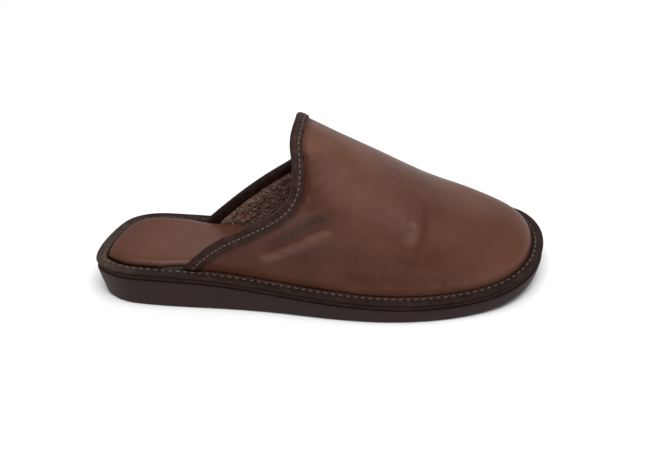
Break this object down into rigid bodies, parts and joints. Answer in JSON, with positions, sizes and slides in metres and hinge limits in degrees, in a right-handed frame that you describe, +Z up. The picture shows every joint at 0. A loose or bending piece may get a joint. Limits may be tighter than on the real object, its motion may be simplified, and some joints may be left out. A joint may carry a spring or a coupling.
{
  "type": "mule slipper",
  "caption": "Open-backed leather mule slipper, right foot, with a closed toe, bound collar, fleece lining, padded insole and a low moulded sole with a stitched welt.",
  "frame": {"origin": "on the floor, under the middle of the slipper's bounding box", "axes": "+X towards the toe, +Y towards the inner (medial) side of the foot, +Z up"},
  "size_m": [0.289, 0.11, 0.115],
  "materials": {
    "outsole_rubber": "semi-matt moulded rubber",
    "platform_cover": "matt dark cover",
    "welt_leather": "matt napped strip",
    "insole_leather": "smooth matt leather over padding",
    "upper_leather": "smooth leather with a soft sheen",
    "binding_leather": "thin folded leather"
  },
  "bodies": {
    "root": {"outsole": "outsole_rubber", "platform": "platform_cover", "welt": "welt_leather", "insole": "insole_leather", "upper": "upper_leather", "collar_binding": "binding_leather"}
  },
  "joints": []
}
